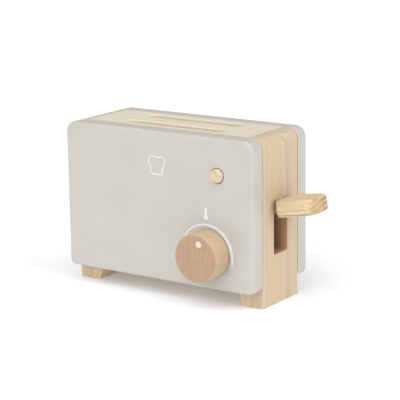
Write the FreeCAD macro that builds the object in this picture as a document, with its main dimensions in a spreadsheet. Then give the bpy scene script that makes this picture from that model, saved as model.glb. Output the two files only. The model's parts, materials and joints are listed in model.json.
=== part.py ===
"""Wooden toy toaster with a swinging lever, a turning dial and a push button.

Frame: millimetres, +Z up, X along the two long faces, Y from front to back.  The origin lies on the
floor under the middle of the whole toy, lever and dial included.  The lever is at its upper stop,
which is its place of rest.  Pieces are drawn about the middle of the case and moved as they are kept.
"""
import FreeCAD, Part
import math
import os

import Sketcher

doc = FreeCAD.newDocument("toy_toaster")
sheet = doc.addObject("Spreadsheet::Sheet", "Sizes")
nodes = []
places = {}


# ---------------------------------------------------------------- driving sizes

SIZES = {
    # painted fibreboard faces
    "panel_length": 200.0,
    "panel_height": 134.0,
    "panel_thick": 16.0,
    "panel_corner": 10.0,
    "panel_low_corner": 6.0,
    "panel_outer_edge": 3.0,
    "panel_inner_edge": 1.5,
    # pine case between the faces
    "body_depth": 57.0,
    "ground_gap": 15.5,
    "end_thick": 14.0,
    "top_thick": 14.0,
    "bottom_thick": 12.0,
    "board_edge": 0.9,
    "foot_width_top": 26.5,
    "foot_width_floor": 21.5,
    # bread slots in the top board
    "bread_length": 106.0,
    "bread_width": 11.0,
    "bread_spacing": 30.0,
    # slot for the lever in the right end board
    "lever_slot_width": 22.0,
    "lever_slot_corner": 2.5,
    "slot_stop_gap": 0.63,
    "slot_under_room": 2.1,
    # lever: an arm on a pin near the left end, with its handle outside the right end
    "pivot_height": 61.0,
    "rest_angle": 8.5,
    "lever_travel": 11.5,
    "arm_width": 14.0,
    "arm_thick": 11.0,
    "pivot_pin_radius": 2.5,
    "post_length": 16.0,
    "post_thick": 10.0,
    "post_gap": 0.5,
    "post_end_gap": 10.0,
    "handle_gap": 5.0,
    "handle_length": 36.0,
    "handle_width": 33.0,
    "handle_thick": 15.5,
    "handle_tip_thick": 13.8,
    "handle_corner": 9.0,
    "handle_edge": 2.5,
    "tenon_length": 16.0,
    "handle_dowel_radius": 2.5,
    "handle_dowel_length": 10.5,
    "handle_dowel_recess": 1.0,
    # toast carrier on the arm
    "crossbar_length": 12.0,
    "crossbar_thick": 6.0,
    "crossbar_inset": 14.0,
    "rest_inset": 3.0,
    "rest_bracket_gap": 2.2,
    "rest_width": 12.0,
    "rest_thick": 5.0,
    "channel_width": 9.0,
    "channel_depth": 1.5,
    "rest_screw_length": 9.0,
    "crossbar_screw_length": 14.0,
    # lifting spring
    "spring_offset": 15.0,
    "spring_radius": 5.5,
    "spring_wire": 0.6,
    "spring_turns": 7,
    "peg_radius": 3.5,
    "peg_height": 12.0,
    "peg_socket": 4.0,
    # dial
    "dial_inset": 44.8,
    "dial_height": 47.5,
    "dial_radius": 21.5,
    "dial_thick": 20.4,
    "dial_gap": 1.0,
    "dial_front_edge": 2.0,
    "dial_back_edge": 1.0,
    "dial_bore_depth": 10.0,
    "axle_radius": 3.0,
    "axle_inner_reach": 6.4,
    "washer_radius": 8.0,
    "washer_thick": 0.8,
    "retainer_radius": 4.7,
    "retainer_thick": 6.0,
    # push button and what it moves
    "button_inset": 35.6,
    "button_radius": 6.25,
    "button_stand": 3.0,
    "button_dome": 2.2,
    "button_nose": 4.5,
    "button_play": 0.65,
    "collar_radius": 9.5,
    "collar_thick": 3.5,
    "collar_room": 9.2,
    "catch_drop": 24.8,
    "catch_width": 8.0,
    "catch_thick": 6.0,
    "catch_face_gap": 7.5,
    "catch_head": 7.2,
    "catch_foot": 8.0,
    "bracket_ear": 4.0,
    "bracket_height": 16.0,
    "bracket_base": 4.0,
    "bracket_reach": 14.5,
    "catch_pin_radius": 1.5,
    "magnet_radius": 3.0,
    "magnet_socket": 2.6,
    "magnet_gap": 0.6,
    "keeper_radius": 4.5,
    "keeper_thick": 1.5,
    "return_spring_radius": 2.5,
    "return_spring_wire": 0.3,
    "return_spring_turns": 4,
    "return_spring_drop": 26.0,
    # fasteners and fits
    "dowel_radius": 3.0,
    "panel_dowel_depth": 8.0,
    "panel_dowel_length": 22.0,
    "panel_dowel_rise": 8.5,
    "panel_dowel_drop": 24.5,
    "frame_dowel_length": 16.0,
    "frame_dowel_top_spread": 14.0,
    "frame_dowel_low_spread": 18.0,
    "foot_screw_spread": 9.0,
    "foot_screw_length": 24.0,
    "foot_screw_radius": 1.75,
    "foot_head_radius": 3.2,
    "small_screw_radius": 1.25,
    "small_head_radius": 2.5,
    "glue_fit": 0.05,
    "running_fit": 0.06,
    "face_fit": 0.2,
    "seat_fit": 0.3,
    # how far a cutter stands out of what it cuts
    "overcut": 1.0,
    "recess_overlap": 0.001,
}

for row, (alias, number) in enumerate(SIZES.items(), 1):
    sheet.set("A%d" % row, alias)
    sheet.set("B%d" % row, str(number))
    sheet.setAlias("B%d" % row, alias)
doc.recompute()


def value(alias):
    """Read one driving size as a plain number."""
    return float(sheet.get(alias))


def named(text):
    """Turn words such as {panel_length} in an expression into cells of the sheet."""
    return text.replace("{", "Sizes.").replace("}", "")


# places that several pieces share, as expressions of the driving sizes
CASE_END = "{panel_length} / 2"
CASE_TOP = "({ground_gap} + {panel_height})"
FRONT_INNER = "(-{body_depth} / 2)"
FRONT_OUTER = "(-{body_depth} / 2 - {panel_thick})"
BACK_INNER = "({body_depth} / 2)"
INNER_LENGTH = "({panel_length} - 2 * {end_thick})"
FLOOR_TOP = "({ground_gap} + {bottom_thick})"
DIAL_X = "({panel_length} / 2 - {dial_inset})"
BUTTON_X = "({panel_length} / 2 - {button_inset})"
PIVOT_REACH = "({panel_length} / 2 - {end_thick} - {post_end_gap} - {post_length} / 2)"
PIVOT_X = "(-%s)" % PIVOT_REACH
REST_COS = "cos({rest_angle} * 1 deg)"
REST_SIN = "sin({rest_angle} * 1 deg)"
REST_TAN = "tan({rest_angle} * 1 deg)"
DOWN_SIN = "sin(({lever_travel} - {rest_angle}) * 1 deg)"
DOWN_COS = "cos(({lever_travel} - {rest_angle}) * 1 deg)"
DOWN_TAN = "tan(({lever_travel} - {rest_angle}) * 1 deg)"
# the arm's upper face at rest and its lower face when down, both at the case's end
ARM_HIGH = "({pivot_height} + ({panel_length} / 2 + %s) * %s + {arm_thick} / 2 / %s)" % (
    PIVOT_REACH, REST_TAN, REST_COS)
ARM_LOW = "({pivot_height} - ({panel_length} / 2 + %s) * %s - {arm_thick} / 2 / %s)" % (
    PIVOT_REACH, DOWN_TAN, DOWN_COS)
# along the arm from the pin, in the arm's own frame
HANDLE_START = "(({panel_length} / 2 + {handle_gap} + %s) / %s)" % (PIVOT_REACH, REST_COS)
KEEPER_AT = "((%s + %s) / %s)" % (BUTTON_X, PIVOT_REACH, DOWN_COS)
CATCH_LEFT = "(%s - {catch_width} / 2)" % BUTTON_X
BRACKET_LEFT = "(%s - {face_fit} - {bracket_ear})" % CATCH_LEFT
REST_START = "(%s - {bread_length} / 2 + {rest_inset})" % PIVOT_REACH
REST_LENGTH = "(%s + %s - {rest_bracket_gap} - %s)" % (BRACKET_LEFT, PIVOT_REACH, REST_START)
BUTTON_HEIGHT = "(%s - {top_thick} - {collar_room} - {collar_radius})" % CASE_TOP
CATCH_PIVOT = "(%s - {catch_drop})" % BUTTON_HEIGHT
CATCH_FRONT = "(-{body_depth} / 2 + {catch_face_gap})"
CATCH_MID = "(-{body_depth} / 2 + {catch_face_gap} + {catch_thick} / 2)"
MAGNET_HEIGHT = "({pivot_height} - %s * %s)" % (KEEPER_AT, DOWN_SIN)
CATCH_LOW = "(%s - {catch_foot})" % MAGNET_HEIGHT
DIAL_BACK = "(-{body_depth} / 2 - {panel_thick} - {dial_gap})"
BUTTON_FRONT = "(-{body_depth} / 2 - {panel_thick} - {button_stand})"
COLLAR_FRONT = "(-{body_depth} / 2 + {face_fit})"
# the handle's outermost point, rounding included, and from it the middle of the case seen from the origin
HANDLE_END = "(%s + {handle_length})" % HANDLE_START
HANDLE_REACH = ("((%s - {handle_edge}) * %s + ({handle_tip_thick} / 2 - {handle_edge}) * %s"
                " + {handle_edge} - %s)" % (HANDLE_END, REST_COS, REST_SIN, PIVOT_REACH))
CASE_X = "(({panel_length} / 2 - %s) / 2)" % HANDLE_REACH
CASE_Y = "(({dial_gap} + {dial_thick}) / 2)"


# ---------------------------------------------------------------- small tools

def bind(item, prop, text):
    """Tie a property to an expression of the sheet."""
    item.setExpression(prop, named(text))


def at(item, x="0", y="0", z="0"):
    """Tie the item's position to three expressions."""
    places[item.Name] = (x, y, z)
    bind(item, "Placement.Base.x", x)
    bind(item, "Placement.Base.y", y)
    bind(item, "Placement.Base.z", z)
    return item


def keep(item, label):
    """Name a finished sub-part, move it from the case's middle to the toy's frame and add it."""
    item.Label = label
    x, y, z = places.get(item.Name, ("0", "0", "0"))
    at(item, "(%s) + %s" % (x, CASE_X), "(%s) + %s" % (y, CASE_Y), z)
    nodes.append(item)
    return item


def block(name, length, width, height, x, y, z):
    """A box between its low corner and that corner plus three lengths."""
    item = doc.addObject("Part::Box", name)
    bind(item, "Length", length)
    bind(item, "Width", width)
    bind(item, "Height", height)
    return at(item, x, y, z)


def rod(name, radius, length, direction, x, y, z):
    """A cylinder that starts at a point and runs along +X, +Y or +Z."""
    item = doc.addObject("Part::Cylinder", name)
    bind(item, "Radius", radius)
    bind(item, "Height", length)
    turns = {"X": FreeCAD.Rotation(FreeCAD.Vector(0, 1, 0), 90),
             "Y": FreeCAD.Rotation(FreeCAD.Vector(1, 0, 0), -90),
             "Z": FreeCAD.Rotation()}
    item.Placement = FreeCAD.Placement(FreeCAD.Vector(), turns[direction])
    return at(item, x, y, z)


def cone(name, low_radius, high_radius, height, x, y, z):
    """A cone frustum that stands on a point."""
    item = doc.addObject("Part::Cone", name)
    bind(item, "Radius1", low_radius)
    bind(item, "Radius2", high_radius)
    bind(item, "Height", height)
    return at(item, x, y, z)


def joined(name, items):
    """One solid from overlapping items."""
    item = doc.addObject("Part::MultiFuse", name)
    item.Shapes = items
    return item


def grouped(name, items):
    """Separate solids kept as one object."""
    item = doc.addObject("Part::Compound", name)
    item.Links = items
    return item


def cut(name, base, tool):
    """The base less the tool."""
    item = doc.addObject("Part::Cut", name)
    item.Base = base
    item.Tool = tool
    return item


def on_arm(item):
    """Place an item that is drawn in the arm's frame: its origin on the pin, +X along the arm."""
    item.Placement = FreeCAD.Placement(FreeCAD.Vector(), FreeCAD.Rotation(FreeCAD.Vector(0, -1, 0), 1))
    bind(item, "Placement.Rotation.Angle", "{rest_angle}")
    return at(item, PIVOT_X, "0", "{pivot_height}")


def new_body(name):
    """An empty PartDesign body."""
    return doc.addObject("PartDesign::Body", name)


def plane_of(body, role):
    """One of the body's own origin planes, such as XZ_Plane."""
    return [feature for feature in body.Origin.OriginFeatures if feature.Role == role][0]


def sketch_on(body, name, role, offset="0"):
    """A sketch on one of the body's origin planes, moved along the plane's normal."""
    sketch = body.newObject("Sketcher::SketchObject", name)
    sketch.AttachmentSupport = [(plane_of(body, role), "")]
    sketch.MapMode = "FlatFace"
    if offset != "0":
        bind(sketch, "AttachmentOffset.Base.z", offset)
    return sketch


def pin_point(sketch, geometry, point, across, up):
    """Fix one point of a sketch by two expressions, its distances from the sketch's origin."""
    first = sketch.addConstraint(Sketcher.Constraint("DistanceX", -1, 1, geometry, point, evaluate(across)))
    sketch.setExpression("Constraints[%d]" % first, named(across))
    second = sketch.addConstraint(Sketcher.Constraint("DistanceY", -1, 1, geometry, point, evaluate(up)))
    sketch.setExpression("Constraints[%d]" % second, named(up))


def evaluate(text):
    """The number that an expression of the sheet gives now."""
    result = sheet.evalExpression(named(text))
    return float(getattr(result, "Value", result))


def polygon(sketch, corners):
    """A closed outline of straight edges, each corner fixed by two expressions."""
    points = [FreeCAD.Vector(evaluate(across), evaluate(up), 0) for across, up in corners]
    start = sketch.GeometryCount
    count = len(points)
    for index in range(count):
        sketch.addGeometry(Part.LineSegment(points[index], points[(index + 1) % count]), False)
    for index in range(count):
        following = start + (index + 1) % count
        sketch.addConstraint(Sketcher.Constraint("Coincident", start + index, 2, following, 1))
    for index, (across, up) in enumerate(corners):
        pin_point(sketch, start + index, 1, across, up)


def rectangle(sketch, left, right, low, high):
    """A rectangle between four expressions."""
    polygon(sketch, [(left, low), (right, low), (right, high), (left, high)])


def long_hole(sketch, reach, up, radius):
    """A round-ended slot along the sketch's X, centred on x = 0, with arc centres at -reach and +reach."""
    middle = evaluate(up)
    half = evaluate(reach)
    round_end = evaluate(radius)
    normal = FreeCAD.Vector(0, 0, 1)
    right = Part.Circle(FreeCAD.Vector(half, middle, 0), normal, round_end)
    left = Part.Circle(FreeCAD.Vector(-half, middle, 0), normal, round_end)
    quarter = math.pi / 2
    right_arc = sketch.addGeometry(Part.ArcOfCircle(right, -quarter, quarter), False)
    left_arc = sketch.addGeometry(Part.ArcOfCircle(left, quarter, 3 * quarter), False)
    top = sketch.addGeometry(Part.LineSegment(FreeCAD.Vector(half, middle + round_end, 0),
                                              FreeCAD.Vector(-half, middle + round_end, 0)), False)
    low = sketch.addGeometry(Part.LineSegment(FreeCAD.Vector(-half, middle - round_end, 0),
                                              FreeCAD.Vector(half, middle - round_end, 0)), False)
    sketch.addConstraint(Sketcher.Constraint("Tangent", right_arc, 2, top, 1))
    sketch.addConstraint(Sketcher.Constraint("Tangent", top, 2, left_arc, 1))
    sketch.addConstraint(Sketcher.Constraint("Tangent", left_arc, 2, low, 1))
    sketch.addConstraint(Sketcher.Constraint("Tangent", low, 2, right_arc, 1))
    pin_point(sketch, right_arc, 3, reach, up)
    pin_point(sketch, left_arc, 3, "-(%s)" % reach, up)
    constraint = sketch.addConstraint(Sketcher.Constraint("Radius", right_arc, round_end))
    sketch.setExpression("Constraints[%d]" % constraint, named(radius))


def pad(body, sketch, length, backwards=False):
    """Extrude a sketch along its normal, or against it."""
    feature = body.newObject("PartDesign::Pad", sketch.Name + "_pad")
    feature.Profile = sketch
    bind(feature, "Length", length)
    feature.Reversed = backwards
    sketch.Visibility = False
    return feature


def pocket_through(body, sketch):
    """Cut a sketch right through the body, both ways."""
    before = body.Shape.Volume
    feature = body.newObject("PartDesign::Pocket", sketch.Name + "_pocket")
    feature.Profile = sketch
    feature.Type = "ThroughAll"
    doc.recompute()
    if feature.Shape.Volume >= before - 1e-6:
        feature.Reversed = True
        doc.recompute()
    if feature.Shape.Volume >= before - 1e-6:
        raise RuntimeError(feature.Name + " cuts nothing")
    return feature


def edges_where(shape, test):
    """Names of the edges whose every point passes a test."""
    found = []
    for number, edge in enumerate(shape.Edges, 1):
        first, last = edge.ParameterRange
        points = [edge.valueAt(first + (last - first) * share) for share in (0.0, 0.3, 0.5, 0.8, 1.0)]
        if all(test(point) for point in points):
            found.append("Edge%d" % number)
    return found


def rounding(body, base, radius, test):
    """Round the edges of a feature that pass a test."""
    doc.recompute()
    feature = body.newObject("PartDesign::Fillet", base.Name + "_round")
    feature.Base = (base, edges_where(base.Shape, test))
    bind(feature, "Radius", radius)
    doc.recompute()
    return feature


def near(number, target):
    """True where two lengths are the same."""
    return abs(number - target) < 1e-4


# ---------------------------------------------------------------- dowels and the holes they sit in

PANEL_DOWEL_X = "({panel_length} / 2 - {end_thick} / 2)"
TOP_DOWEL_HEIGHT = "(%s - {top_thick} / 2)" % CASE_TOP
LOW_DOWEL_HEIGHT = "({ground_gap} + {bottom_thick} / 2)"
PANEL_DOWEL_HEIGHTS = ["(%s + {panel_dowel_rise})" % LOW_DOWEL_HEIGHT,
                       "(%s - {panel_dowel_drop})" % CASE_TOP]


def panel_dowels(prefix, spare):
    """Eight dowels from the faces into the edges of the end boards, or their holes with spare room."""
    items = []
    radius = "({dowel_radius} + %s)" % spare
    length = "({panel_dowel_length} + 2 * %s)" % spare
    fronts = ["(%s - {panel_dowel_depth} - %s)" % (FRONT_INNER, spare),
              "(%s + {panel_dowel_depth} - {panel_dowel_length} - %s)" % (BACK_INNER, spare)]
    for start in fronts:
        for side in ("-", ""):
            for height in PANEL_DOWEL_HEIGHTS:
                name = "%s%d" % (prefix, len(items))
                items.append(rod(name, radius, length, "Y", side + PANEL_DOWEL_X, start, height))
    return grouped(prefix, items)


def frame_dowels(prefix, spare):
    """Eight dowels from the end boards into the top and bottom boards, or their holes with spare room."""
    items = []
    radius = "({dowel_radius} + %s)" % spare
    length = "({frame_dowel_length} + 2 * %s)" % spare
    start = "(%s / 2 - {frame_dowel_length} / 2 - %s)" % (INNER_LENGTH, spare)
    starts = [start, "-(%s + %s)" % (start, length)]
    rows = [(TOP_DOWEL_HEIGHT, "{frame_dowel_top_spread}"), (LOW_DOWEL_HEIGHT, "{frame_dowel_low_spread}")]
    for along in starts:
        for height, spread in rows:
            for side in ("-", ""):
                name = "%s%d" % (prefix, len(items))
                items.append(rod(name, radius, length, "X", along, side + spread, height))
    return grouped(prefix, items)


keep(panel_dowels("panel_dowel", "0"), "panel_dowels")
keep(frame_dowels("frame_dowel", "0"), "frame_dowels")
panel_dowel_holes = panel_dowels("panel_dowel_hole", "{glue_fit}")
frame_dowel_holes = frame_dowels("frame_dowel_hole", "{glue_fit}")


# ---------------------------------------------------------------- faces

def face_panel(label, inner_face, backwards):
    """A face board, drawn on its inner side, rounder at its top corners and along its outer edges."""
    body = new_body(label + "_body")
    at(body, "0", inner_face, "0")
    outline = sketch_on(body, label + "_outline", "XZ_Plane")
    rectangle(outline, "-" + CASE_END, CASE_END, "{ground_gap}", CASE_TOP)
    feature = pad(body, outline, "{panel_thick}", backwards)
    half = value("panel_length") / 2
    low = value("ground_gap")
    high = low + value("panel_height")
    top = rounding(body, feature, "{panel_corner}", lambda p: near(abs(p.x), half) and near(p.z, high))
    corners = rounding(body, top, "{panel_low_corner}", lambda p: near(abs(p.x), half) and near(p.z, low))
    outer = value("panel_thick") * (1 if backwards else -1)
    inside = rounding(body, corners, "{panel_inner_edge}", lambda p: near(p.y, 0))
    rounding(body, inside, "{panel_outer_edge}", lambda p: near(p.y, outer))
    return body


front_body = face_panel("front_panel", FRONT_INNER, False)
button_hole = rod("button_hole", "({button_radius} + {button_play})", "2 * {panel_thick}", "Y",
                  BUTTON_X, "(%s - {panel_thick} / 2)" % FRONT_OUTER, BUTTON_HEIGHT)
axle_hole = rod("axle_hole", "({axle_radius} + {running_fit})", "2 * {panel_thick}", "Y",
                DIAL_X, "(%s - {panel_thick} / 2)" % FRONT_OUTER, "{dial_height}")
front_cuts = grouped("front_cuts", [panel_dowel_holes, button_hole, axle_hole])
keep(cut("front_panel", front_body, front_cuts), "front_panel")

back_body = face_panel("back_panel", BACK_INNER, True)
keep(cut("back_panel", back_body, panel_dowel_holes), "back_panel")


# ---------------------------------------------------------------- case of pine boards

def end_board(label, side):
    """An end board that runs down to the floor, its outer top edge as round as the faces' corners."""
    body = new_body(label + "_body")
    start = "(%s - {end_thick})" % CASE_END
    at(body, start if side > 0 else "-%s" % start, "0", "0")
    outline = sketch_on(body, label + "_outline", "YZ_Plane")
    rectangle(outline, FRONT_INNER, BACK_INNER, "0", CASE_TOP)
    feature = pad(body, outline, "{end_thick}", side < 0)
    outer = side * value("end_thick")
    high = value("ground_gap") + value("panel_height")
    shoulder = rounding(body, feature, "{panel_corner}", lambda p: near(p.x, outer) and near(p.z, high))
    half = value("body_depth") / 2
    edge_top = high - value("panel_corner")

    def soft(point):
        below = point.z < edge_top or near(point.z, edge_top)
        upright = near(point.x, outer) and near(abs(point.y), half) and below
        foot = near(point.z, 0.0)
        return upright or foot
    rounding(body, shoulder, "{board_edge}", soft)
    return body


left_end = end_board("left_end_board", -1)
left_cuts = grouped("left_cuts", [panel_dowel_holes, frame_dowel_holes])
keep(cut("left_end_board", left_end, left_cuts), "left_end_board")

right_end = end_board("right_end_board", 1)
slot_sketch = sketch_on(right_end, "lever_slot", "YZ_Plane")
SLOT_BOTTOM = "(%s - {slot_under_room})" % ARM_LOW
SLOT_TOP = "(%s + {slot_stop_gap})" % ARM_HIGH
rectangle(slot_sketch, "-{lever_slot_width} / 2", "{lever_slot_width} / 2", SLOT_BOTTOM, SLOT_TOP)
slot_pocket = pocket_through(right_end, slot_sketch)
slot_half = value("lever_slot_width") / 2
slot_ends = (evaluate(SLOT_BOTTOM), evaluate(SLOT_TOP))
rounding(right_end, slot_pocket, "{lever_slot_corner}",
         lambda p: near(abs(p.y), slot_half) and (near(p.z, slot_ends[0]) or near(p.z, slot_ends[1])))
right_cuts = grouped("right_cuts", [panel_dowel_holes, frame_dowel_holes])
keep(cut("right_end_board", right_end, right_cuts), "right_end_board")

top_body = new_body("top_board_body")
at(top_body, "0", "0", "(%s - {top_thick})" % CASE_TOP)
top_outline = sketch_on(top_body, "top_outline", "XY_Plane")
rectangle(top_outline, "-%s / 2" % INNER_LENGTH, "%s / 2" % INNER_LENGTH, FRONT_INNER, BACK_INNER)
slot_reach = "({bread_length} / 2 - {bread_width} / 2)"
long_hole(top_outline, slot_reach, "{bread_spacing} / 2", "{bread_width} / 2")
long_hole(top_outline, slot_reach, "-{bread_spacing} / 2", "{bread_width} / 2")
top_pad = pad(top_body, top_outline, "{top_thick}")
top_rim = (evaluate(INNER_LENGTH) / 2, value("body_depth") / 2)
rounding(top_body, top_pad, "{board_edge}",
         lambda p: near(p.z, value("top_thick")) and not near(abs(p.x), top_rim[0])
         and not near(abs(p.y), top_rim[1]))
keep(cut("top_board", top_body, frame_dowel_holes), "top_board")


# ---------------------------------------------------------------- feet and their screws

def screw(name, radius, head_radius, length, spare, x, y, z):
    """A countersunk screw with its head at the bottom, or its hole with spare room."""
    wide = "(%s + %s)" % (head_radius, spare)
    thin = "(%s + %s)" % (radius, spare)
    head = cone(name + "_head", wide, thin, "(%s - %s)" % (head_radius, radius), x, y, z)
    shank = rod(name + "_shank", thin, "(%s + %s)" % (length, spare), "Z", x, y, z)
    return joined(name, [head, shank])


FOOT_TOP_INNER = "(%s - {foot_width_top})" % CASE_END
FOOT_LOW_INNER = "(%s - {foot_width_floor})" % CASE_END
FOOT_SCREW_X = "(%s - ({foot_width_floor} + {end_thick}) / 2)" % CASE_END


def foot_screws(prefix, spare):
    """Four screws up through the foot blocks into the bottom board."""
    items = []
    for side_x in ("-", ""):
        for side_y in ("-", ""):
            name = "%s%d" % (prefix, len(items))
            items.append(screw(name, "{foot_screw_radius}", "{foot_head_radius}", "{foot_screw_length}",
                               spare, side_x + FOOT_SCREW_X, side_y + "{foot_screw_spread}", "{seat_fit}"))
    return grouped(prefix, items)


keep(foot_screws("foot_screw", "0"), "foot_screws")
foot_screw_holes = foot_screws("foot_screw_hole", "{glue_fit}")
head_recess = [rod("head_recess%d" % index, "({foot_head_radius} + {glue_fit})",
                   "({seat_fit} + {recess_overlap})", "Z",
                   side_x + FOOT_SCREW_X, side_y + "{foot_screw_spread}", "0")
               for index, (side_x, side_y) in enumerate([("-", "-"), ("-", ""), ("", "-"), ("", "")])]
foot_cuts = grouped("foot_cuts", [foot_screw_holes] + head_recess)


def foot_block(label, side):
    """The block beside an end board's foot, its inner side sloping in towards the floor."""
    body = new_body(label + "_body")
    at(body, "0", BACK_INNER, "0")
    outline = sketch_on(body, label + "_outline", "XZ_Plane")
    outer = "(%s - {end_thick})" % CASE_END
    polygon(outline, [(side + outer, "0"), (side + FOOT_LOW_INNER, "0"),
                      (side + FOOT_TOP_INNER, "{ground_gap}"), (side + outer, "{ground_gap}")])
    feature = pad(body, outline, "{body_depth}")
    low_inner = value("panel_length") / 2 - value("foot_width_floor")
    rounding(body, feature, "{board_edge}", lambda p: near(p.z, 0) and near(abs(p.x), low_inner))
    return keep(cut(label, body, foot_cuts), label)


foot_block("left_foot_block", "-")
foot_block("right_foot_block", "")


# ---------------------------------------------------------------- bottom board, pivot posts and pin

peg_hole = rod("peg_hole", "({peg_radius} + {glue_fit})", "({peg_socket} + {overcut})", "Z",
               "{spring_offset}", "0", "(%s - {peg_socket})" % FLOOR_TOP)
bottom_blank = block("bottom_blank", INNER_LENGTH, "{body_depth}", "{bottom_thick}",
                     "-%s / 2" % INNER_LENGTH, FRONT_INNER, "{ground_gap}")
bottom_cuts = grouped("bottom_cuts", [frame_dowel_holes, foot_screw_holes, peg_hole])
keep(cut("bottom_board", bottom_blank, bottom_cuts), "bottom_board")

POST_START = "({arm_width} / 2 + {post_gap})"


def pivot_post(label, near_side):
    """A post with a round top that carries one end of the lever's pin."""
    stem = block(label + "_stem", "{post_length}", "{post_thick}", "({pivot_height} - %s)" % FLOOR_TOP,
                 "(%s - {post_length} / 2)" % PIVOT_X, near_side, FLOOR_TOP)
    crown = rod(label + "_crown", "{post_length} / 2", "{post_thick}", "Y",
                PIVOT_X, near_side, "{pivot_height}")
    hole = rod(label + "_hole", "({pivot_pin_radius} + {glue_fit} / 2)", "({post_thick} + 2 * {overcut})",
               "Y", PIVOT_X, "(%s - {overcut})" % near_side, "{pivot_height}")
    return keep(cut(label, joined(label + "_blank", [stem, crown]), hole), label)


pivot_post("pivot_post_back", POST_START)
pivot_post("pivot_post_front", "(-%s - {post_thick})" % POST_START)
pin_reach = "(%s + {post_thick})" % POST_START
keep(rod("lever_pivot_pin", "{pivot_pin_radius}", "2 * %s" % pin_reach, "Y",
         PIVOT_X, "-%s" % pin_reach, "{pivot_height}"), "lever_pivot_pin")


# ---------------------------------------------------------------- lever arm and handle

ARM_END = "(%s + {tenon_length})" % HANDLE_START

arm_bar = block("arm_bar", ARM_END, "{arm_width}", "{arm_thick}",
                "0", "-{arm_width} / 2", "-{arm_thick} / 2")
arm_eye = rod("arm_eye", "{arm_thick} / 2", "{arm_width}", "Y", "0", "-{arm_width} / 2", "0")
arm_bore = rod("arm_bore", "({pivot_pin_radius} + {running_fit})", "({arm_width} + 2 * {overcut})", "Y",
               "0", "(-{arm_width} / 2 - {overcut})", "0")
keeper_hole = rod("keeper_hole", "({keeper_radius} + {glue_fit})", "({keeper_thick} + {overcut})", "Y",
                  KEEPER_AT, "(-{arm_width} / 2 - {overcut})", "0")
HANDLE_DOWEL_AT = "(%s + {tenon_length} / 2)" % HANDLE_START
HANDLE_DOWEL_LOW = "(-{handle_thick} / 2 + {handle_dowel_recess})"
dowel_hole = rod("handle_dowel_hole", "({handle_dowel_radius} + {glue_fit})",
                 "({handle_dowel_length} + {handle_dowel_recess} + {overcut} + {glue_fit})", "Z",
                 HANDLE_DOWEL_AT, "0", "(-{handle_thick} / 2 - {overcut})")


def carrier_screw(name, length, spare, along, across, top):
    """A small countersunk screw, head up, in the arm's frame, or its hole with spare room."""
    wide = "({small_head_radius} + %s)" % spare
    thin = "({small_screw_radius} + %s)" % spare
    drop = "({small_head_radius} - {small_screw_radius})"
    head = cone(name + "_head", thin, wide, drop, along, across, "(%s - %s)" % (top, drop))
    full = "(%s + %s)" % (length, spare)
    shank = rod(name + "_shank", thin, full, "Z", along, across, "(%s - %s)" % (top, full))
    return joined(name, [head, shank])


BAR_TOP = "({arm_thick} / 2 + {crossbar_thick})"
BAR_CENTRES = ["(%s + {crossbar_inset})" % REST_START,
               "(%s + %s - {crossbar_inset})" % (REST_START, REST_LENGTH)]
REST_FLOOR = "(%s + {rest_thick} - {channel_depth})" % BAR_TOP


def bar_screws(prefix, spare):
    """Two screws down through the crossbars into the arm."""
    items = [carrier_screw("%s%d" % (prefix, index), "{crossbar_screw_length}", spare, centre, "0", BAR_TOP)
             for index, centre in enumerate(BAR_CENTRES)]
    return grouped(prefix, items)


def rest_screws(prefix, spare):
    """Four screws down through the toast rests into the crossbars."""
    items = []
    for centre in BAR_CENTRES:
        for side in ("-", ""):
            name = "%s%d" % (prefix, len(items))
            items.append(carrier_screw(name, "{rest_screw_length}", spare, centre,
                                       side + "{bread_spacing} / 2", REST_FLOOR))
    return grouped(prefix, items)


bar_screw_holes = bar_screws("bar_screw_hole", "{glue_fit}")
rest_screw_holes = rest_screws("rest_screw_hole", "{glue_fit}")
arm_cuts = grouped("arm_cuts", [arm_bore, keeper_hole, dowel_hole, bar_screw_holes])
arm = cut("lever_arm", joined("arm_blank", [arm_bar, arm_eye]), arm_cuts)
keep(on_arm(arm), "lever_arm")
keep(on_arm(bar_screws("bar_screw", "0")), "crossbar_screws")
keep(on_arm(rest_screws("rest_screw", "0")), "rest_screws")

handle_body = new_body("handle_body")
handle_side = sketch_on(handle_body, "handle_side", "XZ_Plane", "-{handle_width} / 2")
polygon(handle_side, [(HANDLE_START, "-{handle_thick} / 2"), (HANDLE_END, "-{handle_tip_thick} / 2"),
                      (HANDLE_END, "{handle_tip_thick} / 2"), (HANDLE_START, "{handle_thick} / 2")])
handle_pad = pad(handle_body, handle_side, "{handle_width}")
handle_start = evaluate(HANDLE_START)
handle_end = evaluate(HANDLE_END)
handle_half = value("handle_width") / 2
handle_corners = rounding(handle_body, handle_pad, "{handle_corner}",
                          lambda p: near(p.x, handle_end) and near(abs(p.y), handle_half))


def on_handle_outline(point):
    """True on the outlines of the handle's upper and lower faces and on its two inner upright edges."""
    share = (point.x - handle_start) / (handle_end - handle_start)
    thick = value("handle_thick") + (value("handle_tip_thick") - value("handle_thick")) * share
    upright = near(point.x, handle_start) and near(abs(point.y), handle_half)
    return upright or near(abs(point.z), thick / 2)


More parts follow.
